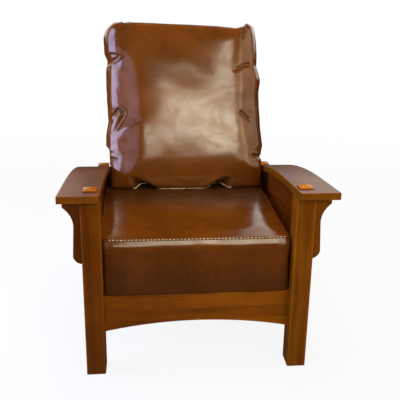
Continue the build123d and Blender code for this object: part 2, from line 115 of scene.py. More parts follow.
class Finish:
    """The nodes of one new material or world, filled through add()."""

    def __init__(self, name, kind="materials"):
        self.owner = getattr(bpy.data, kind).new(name)
        self.owner.use_nodes = True
        self.tree = self.owner.node_tree
        self.tree.nodes.clear()

    def add(self, kind, settings=None, values=None, out=0):
        """Adds a node: settings first, then its sockets' values or links; returns one output."""
        node = self.tree.nodes.new(kind)
        for name, setting in (settings or {}).items():
            setattr(node, name, setting)
        for name, value in (values or {}).items():
            socket = node.inputs[name]
            if isinstance(value, Wire):
                self.tree.links.new(value.socket, socket)
            elif socket.type == "RGBA" and len(value) == 3:
                socket.default_value = (*value, 1)
            else:
                socket.default_value = value
        return Wire(self, node.outputs[out]) if node.outputs else None

    def noise(self, place, scale, detail=3.0, roughness=0.5, distortion=0.0):
        return self.add("ShaderNodeTexNoise", {"noise_dimensions": "3D"}, {
            "Vector": place, "Scale": scale, "Detail": detail,
            "Roughness": roughness, "Distortion": distortion,
        })

    def mix(self, factor, first, second, blend="MIX"):
        """Mixes two colours by a factor."""
        settings = {"data_type": "RGBA", "blend_type": blend}
        return self.add("ShaderNodeMix", settings, {0: factor, 6: first, 7: second}, out=2)

    def times(self, place, factors):
        """A vector times three numbers."""
        return self.add("ShaderNodeVectorMath", {"operation": "MULTIPLY"}, {0: place, 1: factors})

    def parts(self, place):
        """A vector's X, Y and Z."""
        node = self.add("ShaderNodeSeparateXYZ", None, {0: place}).socket.node
        return [Wire(self, socket) for socket in node.outputs]

    def ray(self, kind):
        """1 for rays of one kind, such as Is Camera Ray, and 0 for others."""
        return self.add("ShaderNodeLightPath", out=kind)

    def object_place(self, centre=(0, 0, 0), turn=0.0):
        """Object coordinates measured from a centre, in axes turned about X."""
        place = self.add("ShaderNodeTexCoord", out=3)
        values = {"Vector": place, "Location": centre, "Rotation": (turn, 0, 0)}
        return self.add("ShaderNodeMapping", {"vector_type": "TEXTURE"}, values)

    def bump(self, height, strength, distance, **more):
        values = {"Strength": strength, "Distance": distance, "Height": height, **more}
        return self.add("ShaderNodeBump", None, values)

    def surface(self, values):
        """Closes the material with one Principled shader."""
        shader = self.add("ShaderNodeBsdfPrincipled", None, values)
        self.add("ShaderNodeOutputMaterial", None, {"Surface": shader})
        return self.owner


def tinted(colour, factor):
    """A colour times one number or three."""
    return tuple(np.multiply(colour, factor))


# Sizes and colours that a user would change


def Colour(**words):
    """A colour setting with its name, description and default."""
    return FloatVectorProperty(subtype="COLOR", size=3, **words)


def Length(**words):
    """A length setting in metres."""
    return FloatProperty(unit="LENGTH", **words)


def Power(**words):
    """A lamp's power setting in watts."""
    return FloatProperty(unit="POWER", **words)


class WoodLook(PropertyGroup):
    """Stained and lacquered wood."""

    dark: Colour(name="Dark grain", description="Colour of the darkest grain", default=tone("502402"))
    middle: Colour(name="Stain", description="Colour of most of the wood", default=tone("733a05"))
    light: Colour(name="Light grain", description="Colour of the palest grain", default=tone("8f510a"))
    # Painted light and shade: the stain is painted darker and redder at the left and brighter and more amber
    # at the right, as the light falls across the chair
    left_painted_shade: Colour(
        name="Left tint", description="What the stain is multiplied by at the left, where it is redder",
        default=(0.86, 0.82, 0.60),
    )
    right_painted_light: Colour(
        name="Right tint", description="What the stain is multiplied by at the right, where it is more amber",
        default=(1.24, 1.34, 0.80),
    )
    plain: Colour(name="Bare wood", description="Colour of the unstained boards", default=tone("c09a68"))
    roughness: FloatProperty(
        name="Lacquer roughness", description="Roughness of the satin lacquer", default=0.34, min=0, max=1,
    )


class LeatherLook(PropertyGroup):
    """Waxed brown leather and its thread."""

    # Deep leather at 0.12 of its brightness is also the painted shade in creases, tucks and shadowed places
    deep: Colour(name="Deep leather", description="Colour in hollows and dark clouds", default=tone("532904"))
    face: Colour(name="Leather", description="Colour of most of the leather", default=tone("6e3807"))
    thread: Colour(name="Thread", description="Colour of the saddle stitching", default=tone("e3c48c"))
    roughness: FloatProperty(
        name="Wax roughness", description="Roughness of the waxed face", default=0.14, min=0, max=1,
    )


class SeatPad(PropertyGroup):
    """The boxed seat cushion."""

    mesh_step: Length(name="Mesh step", description="Distance between mesh lines", default=0.0072)
    slim: Length(name="Slimming", description="How much smaller the pad starts than its solid", default=0.002)
    top_round: Length(name="Top edge", description="Radius of the edge at the top seam", default=0.006)
    sit_length: Length(
        name="Free length", description="Length of the top in front of the back cushion", default=0.45,
    )
    crown: Length(name="Crown", description="Rise of the middle of the top", default=0.009)
    stitch_pitch: Length(
        name="Stitch pitch", description="Distance between the saddle stitches", default=0.0112,
    )
    stitch_long: Length(name="Stitch length", description="Length of one stitch", default=0.0068)
    stitch_thick: Length(name="Stitch thickness", description="Thickness of one stitch", default=0.0044)


class BackPad(PropertyGroup):
    """The loose pillow back."""

    mesh_step: Length(name="Mesh step", description="Distance between mesh lines", default=0.0066)
    roll_width: Length(name="Side roll", description="Width over which the sides roll back", default=0.075)
    top_round: Length(name="Top roll", description="Height over which the top rolls back", default=0.009)
    crown: Length(name="Crown", description="Rise of the middle of the front", default=0.011)


class StudioLook(PropertyGroup):
    """Camera and lights."""

    camera_place: FloatVectorProperty(
        name="Camera", description="Place of the camera", subtype="TRANSLATION", size=3,
        default=(-0.16496, -2.13341, 1.17035),
    )
    lens: FloatProperty(
        name="Lens", description="Focal length for a 36 mm wide sensor", default=57.718, unit="CAMERA",
    )
    window_power: Power(name="Window", description="Power of the window light", default=4.4)
    high_power: Power(
        name="High window", description="Power of the dimmer pane above the window", default=1.6,
    )
    curtain_power: Power(
        name="Curtain", description="Power of the dim, cool pane left of the window", default=1.45,
    )
    left_power: Power(name="Left wall", description="Power of the dim, cool pane at the left", default=6.0)
    wall_power: Power(name="Right wall", description="Power of the dim pane right of the window", default=3.4)
    warm_power: Power(
        name="Warm light", description="Power of the wide, dim light at the right", default=22.0,
    )
    key_power: Power(name="Key light", description="Power of the light high in front", default=13.0)
    side_power: Power(name="Side light", description="Power of the cool light at the left", default=105.0)
    rear_power: Power(name="Rear", description="Power of the light behind the chair", default=22.0)
    top_power: Power(name="Top light", description="Power of the light above", default=38.0)
    fill: FloatProperty(
        name="Fill", description="Level of the light from all round", default=0.12, min=0, max=1,
    )


# Materials


def wood_finish(name, along, centre=(0, 0, 0), half=(), edges="bar", turn=0.0, painted_shading=(1, 1, 1), tip=None):
    """Stained wood with its grain along one axis, paler where its edges are rubbed.

    A bar is rubbed along the edges where its sides meet, a board all round its
    outline. From the tip's height up, on the end grain, it is painted paler: a painted highlight of the
    lit pyramid. Towards the left it is painted darker and redder and towards the right brighter and more
    amber, painted light and shade of how the light falls, times a piece's painted light level."""
    look = bpy.context.scene.armchair_wood
    finish = Finish(name)
    place = finish.object_place(centre, turn)
    world = finish.object_place()
    drawn_out = [0.045 if axis == along else 1 for axis in "xyz"]
    grain = finish.times(place if turn else world, drawn_out)
    bands = finish.noise(grain, 34, 3, 0.55, 0.6)
    streaks = finish.noise(grain, 210, 4, 0.6, 0.3)
    pores = finish.noise(grain, 900, 2, 0.5)
    clouds = finish.noise(world, 5.5, 3, 0.5, 0.4)
    flecks = finish.noise(world, 160, 1, 0.5, 1.2).between(0.66, 0.74)
    body = finish.mix(bands.between(0.22, 0.60), look.dark, look.middle)
    body = finish.mix(streaks.between(0.46, 0.80) * 0.45, body, look.light)
    body = finish.mix(clouds.between(0.45, 0.80) * 0.35, body, look.light)
    body = finish.mix(clouds.between(0.55, 0.25) * 0.45, body, look.dark)
    body = finish.mix(flecks * 0.12, body, look.light)
    if half:
        gaps = [reach - abs(part) for part, reach in zip(finish.parts(place), half) if reach]
        edge = gaps[0].highest(gaps[1]) if edges == "bar" else gaps[0].lowest(gaps[1])
        rubbed = (edge + (streaks - 0.5) * 0.006).between(0.007, 0.0005)
        body = finish.mix(rubbed * 0.55, body, look.light)
    body = finish.mix(pores.between(0.60, 0.70) * 0.35, body, look.dark)
    across, _, up = finish.parts(world)
    if tip:
        # Painted highlight: the leg's pyramid tip is painted paler, as if lit
        body = finish.mix(up.between(tip - 0.001, tip + 0.001) * 0.7, body, tinted(look.light, 1.7))
    # Painted light and shade across the chair: darker and redder at the left, brighter and more amber at the
    # right, times the piece's own painted light level
    left, right = tinted(look.left_painted_shade, painted_shading), tinted(look.right_painted_light, painted_shading)
    body = finish.mix(1.0, body, finish.mix(across.between(-0.35, 0.35), left, right), "MULTIPLY")
    height = streaks * 0.5 + pores.between(0.75, 0.55) * 0.5
    return finish.surface({
        "Base Color": body,
        "Roughness": streaks * 0.14 + (look.roughness - 0.07),
        "Specular IOR Level": 0.30,
        "Specular Tint": (1.0, 0.64, 0.36),
        "Normal": finish.bump(height, 0.06, 0.0003),
    })


def bare_wood_finish():
    """Planed, unstained wood of the hidden boards, with its grain along X."""
    look = bpy.context.scene.armchair_wood
    finish = Finish("bare_boards")
    grain = finish.times(finish.object_place(), (0.05, 1, 1))
    bands = finish.noise(grain, 60, 4, 0.6, 0.5)
    pores = finish.noise(grain, 800, 2)
    return finish.surface({
        "Base Color": finish.mix(bands.between(0.35, 0.7), look.plain, tinted(look.plain, 0.62)),
        "Roughness": bands * 0.2 + 0.5,
        "Normal": finish.bump(pores, 0.25, 0.0003),
    })


def leather_finish():
    """Waxed leather: cloudy colour, fine pebbled grain, small hair creases, and painted shade in creases,
    tucks and shadowed places.
    """
    look = bpy.context.scene.armchair_leather
    finish = Finish("waxed_leather")
    place = finish.object_place()
    clouds = finish.noise(place, 7, 4, 0.55, 0.5)
    mottle = finish.noise(place, 46, 4, 0.6, 0.4)
    pebbles = finish.add(
        "ShaderNodeTexVoronoi", {"feature": "DISTANCE_TO_EDGE"}, {"Vector": place, "Scale": 620},
    )
    hair = finish.noise(place, 120, 5, 0.65, 1.5)
    ripples = finish.noise(place, 21, 2, 0.5, 0.3)
    wax = finish.noise(finish.times(place, (1, 1, 1.7)), 8, 5, 0.62, 1.8)
    painted_shade = finish.add("ShaderNodeAttribute", {"attribute_name": "painted_shade"}, out=2)
    body = finish.mix(clouds.between(0.62, 0.30) * 0.75, look.face, look.deep)
    body = finish.mix(mottle.between(0.42, 0.78) * 0.28, body, tinted(look.face, 1.45))
    # Painted shade: where the vertex attribute asks for it, in creases, tucks and shadowed places, the
    # leather is painted nearly black
    body = finish.mix(painted_shade, body, tinted(look.deep, 0.12))
    grain = pebbles.between(0.0, 0.30)
    body = finish.mix((1 - grain) * 0.25, body, look.deep)
    fine = finish.bump(grain * 0.6 + hair * 0.4, 0.02, 0.0006)
    return finish.surface({
        "Base Color": body,
        "Roughness": mottle * 0.10 + (look.roughness - 0.05) + (1 - grain) * 0.04 + painted_shade * 0.5,
        "Specular IOR Level": 0.38,
        "Specular Tint": (1.0, 0.84, 0.58),
        "Coat Weight": wax.between(0.34, 0.64) * (1 - painted_shade) * 0.38 + 0.08,
        "Coat Roughness": 0.13,
        "Normal": finish.bump(ripples, 0.11, 0.0016, Normal=fine),
    })


def piping_finish():
    """Leather cord painted pale in the thread colour, a painted highlight along it, with darker spots left.
    """
    look = bpy.context.scene.armchair_leather
    finish = Finish("painted_highlight_piping")
    spots = finish.noise(finish.object_place(), 60, 3)
    return finish.surface({
        # Painted highlight: the cord's pale colour stands in for the shine along it
        "Base Color": finish.mix(spots.between(0.45, 0.70), look.thread, look.face),
        "Roughness": spots * 0.2 + 0.2,
    })


def thread_finish():
    """Waxed twisted thread."""
    look = bpy.context.scene.armchair_leather
    finish = Finish("saddle_thread")
    twist = finish.noise(finish.object_place(), 900, 2)
    return finish.surface({
        "Base Color": finish.mix(twist.between(0.3, 0.7), look.thread, tinted(look.thread, 0.6)),
        "Roughness": twist * 0.2 + 0.35,
        "Normal": finish.bump(twist, 0.3, 0.0003),
    })


def metal_finish(name, colour, tarnish, roughness, turned):
    """Drawn or turned metal with faint lines round it and uneven tarnish."""
    finish = Finish(name)
    place = finish.object_place()
    lines = finish.noise(finish.times(place, turned), 700, 2)
    stains = finish.noise(place, 60, 4, 0.6)
    return finish.surface({
        "Base Color": finish.mix(stains.between(0.45, 0.8) * 0.6, colour, tarnish),
        "Metallic": 1.0,
        "Roughness": lines * 0.12 + stains * 0.15 + roughness,
        "Normal": finish.bump(lines, 0.08, 0.0002),
    })


def plastic_finish():
    """Dull black moulded plastic with a fine spark texture."""
    finish = Finish("black_plastic")
    spark = finish.noise(finish.object_place(), 1100, 2)
    return finish.surface({
        "Base Color": finish.mix(spark.between(0.3, 0.7), tone("1a1917"), tone("24231f")),
        "Roughness": spark * 0.2 + 0.4,
        "Normal": finish.bump(spark, 0.2, 0.0002),
    })


def dress(node, material):
    """Puts one material on a CAD node's slots."""
    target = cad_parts[node].data.materials
    if not target:
        target.append(material)
    for index in range(len(target)):
        target[index] = material


# Shapes


def box_lattice(counts):
    """Closed quad shell of a box, as whole-number places and quads.

    Each of the six faces is a grid of two counters with the third held at 0 or at its count;
    places with the same three counters are one vertex."""
    quads = []
    for axis in range(3):
        first, second = ((1, 2), (2, 0), (0, 1))[axis]
        i, j = np.meshgrid(np.arange(counts[first]), np.arange(counts[second]), indexing="ij")
        for level, order in ((0, (0, 3, 2, 1)), (counts[axis], (0, 1, 2, 3))):
            corner = np.zeros(i.shape + (4, 3), dtype=int)
            corner[..., axis] = level
            corner[..., first] = i[..., None] + np.array((0, 1, 1, 0))
            corner[..., second] = j[..., None] + np.array((0, 0, 1, 1))
            quads.append(corner[..., order, :].reshape(-1, 4, 3))
    places, index = np.unique(np.concatenate(quads).reshape(-1, 3), axis=0, return_inverse=True)
    return places, index.reshape(-1, 4)


def soft_box(unit, half, rounds, power=4.0):
    """Rounded box from points on the unit box's faces.

    On each axis, what lies beyond the half size less its rounding is measured in roundings.
    The first two are joined as a power sum, so a corner seen from the front is a squarish
    curve; that sum and the third are then scaled to lie on a circle, which rolls the edges."""
    half = np.broadcast_to(half, unit.shape)
    rounds = np.broadcast_to(rounds, unit.shape)
    place = unit * half
    core = np.clip(place, -(half - rounds), half - rounds)
    over = (place - core) / rounds
    plan = (np.abs(over[:, 0]) ** power + np.abs(over[:, 1]) ** power) ** (1 / power)
    length = np.sqrt(plan ** 2 + over[:, 2] ** 2)
    return core + over * rounds / np.maximum(length, 1e-9)[:, None]


def bell(value, centre, width):
    """1 at the centre, falling off as a bell curve of that width."""
    return np.exp(-((value - centre) / width) ** 2)


def rise(value, low, high):
    """0 below low, 1 above high, and the cubic 3t² - 2t³ between."""
    share = np.clip((value - low) / (high - low), 0, 1)
    return share * share * (3 - 2 * share)


def ripple(points, wavelength, seed, waves=24):
    """Smooth noise: the mean of plane waves in seeded directions, each near one wavelength."""
    random = np.random.default_rng(seed)
    heading = random.normal(size=(waves, points.shape[1]))
    heading /= np.linalg.norm(heading, axis=1)[:, None]
    pace = 2 * np.pi / wavelength * random.uniform(0.6, 1.5, waves)
    phase = random.uniform(0, 2 * np.pi, waves)
    return np.sin(points @ (heading * pace[:, None]).T + phase).sum(1) / math.sqrt(waves)


def reach_along(place, value, low, high, bins):
    """The largest value in each of the bins of a place, read back smoothly at every place."""
    index = np.clip(((place - low) / (high - low) * bins).astype(int), 0, bins - 1)
    reach = np.zeros(bins)
    np.maximum.at(reach, index, value)
    middles = low + (np.arange(bins) + 0.5) * (high - low) / bins
    return np.interp(place, middles, reach)


def stroke(points, path):
    """Distance from a polyline, side of it, and share of its length at the nearest place."""
    path = np.asarray(path, float)
    steps = np.diff(path, axis=0)
    lengths = np.linalg.norm(steps, axis=1)
    starts = np.concatenate([[0], np.cumsum(lengths)])
    best = np.full(len(points), 1e9)
    side = np.zeros(len(points))
    share = np.zeros(len(points))
    for index, (start, step, length) in enumerate(zip(path, steps, lengths)):
        offset = points - start
        along = np.clip(offset @ step / length ** 2, 0, 1)
        away = offset - along[:, None] * step
        distance = np.linalg.norm(away, axis=1)
        nearer = distance < best
        best = np.where(nearer, distance, best)
        cross = step[0] * offset[:, 1] - step[1] * offset[:, 0]
        side = np.where(nearer, np.sign(cross), side)
        share = np.where(nearer, (starts[index] + along * length) / starts[-1], share)
    return best, side, share


def vertex_normals(points, quads):
    """Unit normals: the sum of the crossed diagonals of the quads round each vertex."""
    corners = points[quads]
    face = np.cross(corners[:, 2] - corners[:, 0], corners[:, 3] - corners[:, 1])
    normals = np.zeros_like(points)
    for column in range(4):
        np.add.at(normals, quads[:, column], face)
    return normals / np.maximum(np.linalg.norm(normals, axis=1), 1e-12)[:, None]


def relaxed(points, quads, rounds, amount=0.5):
    """Moves each vertex part of the way to the mean of its neighbours, several times."""
    pairs = np.concatenate([quads[:, (a, (a + 1) % 4)] for a in range(4)])
    pairs = np.concatenate([pairs, pairs[:, ::-1]])
    count = np.bincount(pairs[:, 0], minlength=len(points))[:, None]
    for _ in range(rounds):
        total = np.zeros_like(points)
        np.add.at(total, pairs[:, 0], points[pairs[:, 1]])
        points = points + amount * (total / count - points)
    return points


def make_piece(name, points, faces, material, smooth=True):
    """A mesh object from arrays of points and quads."""
    mesh = bpy.data.meshes.new(name)
    faces = faces.tolist() if isinstance(faces, np.ndarray) else faces
    mesh.from_pydata(np.asarray(points).tolist(), [], faces)
    mesh.validate()
    mesh.polygons.foreach_set("use_smooth", np.full(len(mesh.polygons), smooth))
    mesh.materials.append(material)
    piece = bpy.data.objects.new(name, mesh)
    bpy.context.scene.collection.objects.link(piece)
    return piece


def tube(path, radii, sides=10, closed=False):
    """Quad tube: a ring of equal sides of each radius at each point of a path, square to it.

    The ring's first direction is carried along by taking out its part along the path."""
    path = np.asarray(path, float)
    if closed:
        ahead = np.roll(path, -1, axis=0) - np.roll(path, 1, axis=0)
    else:
        ahead = np.gradient(path, axis=0)
    ahead /= np.linalg.norm(ahead, axis=1)[:, None]
    guide = np.array((0.13, 0.07, 0.98))
    first = guide - (ahead @ guide)[:, None] * ahead
    first /= np.linalg.norm(first, axis=1)[:, None]
    second = np.cross(ahead, first)
    angle = 2 * np.pi * np.arange(sides) / sides
    ring = np.cos(angle)[None, :, None] * first[:, None] + np.sin(angle)[None, :, None] * second[:, None]
    points = (path[:, None] + ring * np.broadcast_to(radii, len(path))[:, None, None]).reshape(-1, 3)
    rows = np.arange(len(path) if closed else len(path) - 1)
    i, j = np.meshgrid(rows, np.arange(sides), indexing="ij")
    after, beside = (i + 1) % len(path), (j + 1) % sides
    faces = np.stack([i * sides + j, i * sides + beside, after * sides + beside, after * sides + j], -1)
    faces = faces.reshape(-1, 4).tolist()
    if not closed:
        faces += [list(range(sides))[::-1], list(range(len(points) - sides, len(points)))]
    return points, faces


def joined(parts):
    """Several meshes of points and faces as one."""
    starts = np.cumsum([0] + [len(points) for points, _ in parts]).tolist()
    faces = [[corner + start for corner in face] for start, (_, own) in zip(starts, parts) for face in own]
    return np.concatenate([points for points, _ in parts]), faces


def evened(path, step):
    """A path's points again at equal steps along it."""
    path = np.asarray(path, float)
    walked = np.concatenate([[0], np.cumsum(np.linalg.norm(np.diff(path, axis=0), axis=1))])
    places = np.linspace(0, walked[-1], max(int(walked[-1] / step), 2) + 1)
    return np.stack([np.interp(places, walked, path[:, axis]) for axis in range(3)], 1), places


def scratch_pad(points, quads):
    """A mesh object for a modifier to work on."""
    return make_piece("scratch_pad", points, quads, bpy.data.materials.new("scratch"))


def shaped(pad):
    """The mesh that a scratch pad's modifiers make, and its vertices as an array."""
    mesh = pad.evaluated_get(bpy.context.evaluated_depsgraph_get()).data
    places = np.empty(len(mesh.vertices) * 3)
    mesh.vertices.foreach_get("co", places)
    return mesh, places.reshape(-1, 3)


def discard(pad):
    """Takes a scratch pad away again."""
    mesh, material = pad.data, pad.data.materials[0]
    bpy.data.objects.remove(pad)
    bpy.data.meshes.remove(mesh)
    bpy.data.materials.remove(material)


def swollen(points, quads, held, cap, rounds):
    """Cloth blown up from inside for twenty frames, held by a weight at each vertex.

    The moves are evened out over the mesh in rounds, which leaves the broad swelling of thick leather.
    No point ends further than the cap from where it began: a move of length m becomes
    cap x tanh(m / cap)."""
    pad = scratch_pad(points, quads)
    group = pad.vertex_groups.new(name="held")
    for level in np.unique(held.round(2)):
        if level > 0:
            group.add(np.nonzero(held.round(2) == level)[0].tolist(), float(level), "REPLACE")
    cloth = pad.modifiers.new("Swell", "CLOTH")
    leather = {
        "quality": 5, "mass": 0.3, "tension_stiffness": 15, "compression_stiffness": 15,
        "shear_stiffness": 5, "bending_stiffness": 5, "vertex_group_mass": "held",
        "use_pressure": True, "uniform_pressure_force": 4,
    }
    for name, setting in leather.items():
        setattr(cloth.settings, name, setting)
    cloth.settings.effector_weights.gravity = 0
    cloth.collision_settings.use_self_collision = False
    cloth.point_cache.frame_start = 1
    cloth.point_cache.frame_end = 20
    scene = bpy.context.scene
    for step in range(1, 21):
        scene.frame_set(step)
    _, moved = shaped(pad)
    scene.frame_set(1)
    discard(pad)
    shift = relaxed(moved - points, quads, rounds)
    length = np.maximum(np.linalg.norm(shift, axis=1), 1e-9)[:, None]
    return points + shift * (cap * np.tanh(length / cap) / length)


def subdivided(points, quads):
    """The mesh after one level of Catmull-Clark subdivision, as arrays."""
    pad = scratch_pad(points, quads)
    level = pad.modifiers.new("Smooth", "SUBSURF")
    level.levels = level.render_levels = 1
    mesh, fine = shaped(pad)
    corners = np.empty(len(mesh.loops), dtype=int)
    mesh.loops.foreach_get("vertex_index", corners)
    discard(pad)
    return fine, corners.reshape(-1, 4)


def mark_painted_shade(piece, amount):
    """Keeps each vertex's share of painted shade, for the leather's colour: it darkens creases, tucks and
    shadowed places.
    """
    piece.data.attributes.new("painted_shade", "FLOAT", "POINT").data.foreach_set("value", np.clip(amount, 0, 1))


# Seat cushion


SEAT_ROUNDS = (0.007, 0.008, 0.009)  # across, along, and up from the foot
SEAT_SLIDE = np.array((0.001, 0, 0))  # the pad starts this far left of its solid, and moves on twice as far
LEG_REAR = -0.328  # behind this the seat has the room beside the front legs too
LEG_ROOM = 0.2852  # the pad's greatest reach between the front legs
RAIL_ROOM = 0.0160  # its further reach to the left behind them
STITCH_LIFT = np.array((0.0, -0.0010, 0.0014))


def seat_crown(pad, x, y):
    """Share of the crown at a place: (1 - u²)(1 - v²) to the power 0.8 where it is sat on, 0 behind that."""
    across = x / SEAT_HIGH[0]
    along = (y - SEAT_LOW[1]) / pad.sit_length * 2 - 1
    return np.clip(1 - across ** 2, 0, 1) ** 0.8 * np.clip(1 - along ** 2, 0, 1) ** 0.8


def seat_shape(pad):
    """The seat's shell: a rounded box with a crowned top and slightly bulged sides.

    The bulges of the front and the sides are (1 - u²)(1 - w²)."""
    low = np.array((SEAT_LOW[0], SEAT_LOW[1] + pad.slim, SEAT_LOW[2] + 0.0004)) - SEAT_SLIDE
    high = np.array((SEAT_HIGH[0], SEAT_HIGH[1] - pad.slim, BACK_FOOT - pad.slim)) - SEAT_SLIDE
    half = (high - low) / 2
    counts = np.maximum((2 * half / pad.mesh_step).round().astype(int), 4)
    places, quads = box_lattice(counts)
    unit = places / counts * 2 - 1
    rounds = np.tile(SEAT_ROUNDS, (len(unit), 1))
    rounds[unit[:, 2] >= 0, 2] = pad.top_round
    shell = soft_box(unit, half, rounds, 2.5)
    u, v, w = (shell / half).T
    front_bulge, side_bulge, left_push = 0.004, 0.002, 0.013
    shell[:, 1] -= rise(-v, 0.8, 1.0) * front_bulge * (1 - u ** 2) * (1 - w ** 2)
    shell[:, 0] += np.sign(u) * rise(np.abs(u), 0.8, 1.0) * side_bulge * (1 - v ** 2) * (1 - w ** 2)
    shell += (low + high) / 2
    # Behind the front leg the cushion is pushed out to the left, towards the side rails
    behind = rise(shell[:, 1], LEG_REAR, LEG_REAR + 0.033) * (1 - rise(shell[:, 1], 0.14, 0.18))
    shell[:, 0] -= rise(-u, 0.8, 1.0) * left_push * behind * rise(w, -0.95, -0.5)
    shell[:, 2] += rise(w, 0.55, 1.0) * pad.crown * seat_crown(pad, shell[:, 0], shell[:, 1])
    return shell, quads, places, counts, unit


def seat_front_slope(points, normals):
    """Leans the top of the front face back: 25 degrees for 13 mm below the seam, upright 39 mm below it.

    Between the two the slope falls as 1 - (3u² - 2u³); its sum from a depth down to where it ends is the
    setback there. The front face is set to that profile and eased into its own shape below it; the top
    is drawn back with the seam over its first 50 mm."""
    slope, straight, turn = 0.475, 0.0130, 0.026
    seam = 0.0105  # the seam's depth below the top of the crown
    points = points.copy()
    x, y, z = points.T
    deep = z.max() - seam - z
    share = np.clip((deep - straight) / turn, 0, 1)
    setback = slope * (np.clip(straight - np.clip(deep, 0, None), 0, None)
                       + turn * (0.5 - share + share ** 3 - share ** 4 / 2))
    foremost = -reach_along(x, -y, x.min(), x.max(), 60)
    facing = rise(-normals[:, 1], 0.2, 0.5)
    face = facing * rise(deep, -0.0005, 0.0015) * (1 - rise(deep, straight + turn, 0.055))
    near = (1 - facing) * (1 - rise(y - y.min(), 0.004, 0.055))
    points[:, 1] = y + face * (foremost + setback - y) + near * setback * (1 - face)
    return points


def seat_folds(points):
    """Heights of the seat's small folds, along its normals.

    The top's side edges pucker: short folds square to the edge, a sine of the way along it with a
    wandering phase, dying away with the distance from the edge. Low ripples lie over the top and the
    front. The front's ends dimple where the seam turns."""
    x, y, z = points.T
    up = rise(z, 0.425, 0.437)
    from_left = x - x.min()
    from_right = x.max() - x
    wander = ripple(points[:, 1:2], 0.11, 5) * 1.4
    pucker = np.sin(2 * np.pi * y / 0.027 + wander * 2)
    left = 0.0007 * np.exp(-from_left / 0.045) * rise(from_left, 0.004, 0.022)
    right = 0.0004 * np.exp(-from_right / 0.035) * rise(from_right, 0.004, 0.022)
    height = up * pucker * (left + right)
    inner = rise(np.minimum(from_left, from_right), 0, 0.05)
    height += 0.0005 * ripple(points[:, :2] * (1.0, 1.6), 0.18, 11) * inner
    front = rise(-y, -(y.min() + 0.03), -(y.min() + 0.005))
    height += front * 0.0007 * ripple(points[:, (0, 2)], 0.15, 17)
    end = bell(x, x.min() + 0.035, 0.012) + bell(x, x.max() - 0.030, 0.010)
    height -= front * end * bell(z, 0.418, 0.014) * 0.0008
    return height


def seat_seam_path(places, counts, points, normals):
    """The loop of lattice points round the top edge, in order, lifted a little off the leather."""
    nx, ny, nz = counts
    loop = [(i, 0) for i in range(nx)] + [(nx, j) for j in range(ny)]
    loop += [(i, ny) for i in range(nx, 0, -1)] + [(0, j) for j in range(ny, 0, -1)]
    rim = np.nonzero(places[:, 2] == nz)[0]
    index = {tuple(places[number, :2].tolist()): number for number in rim}
    order = [index[corner] for corner in loop]
    return points[order], normals[order], nx


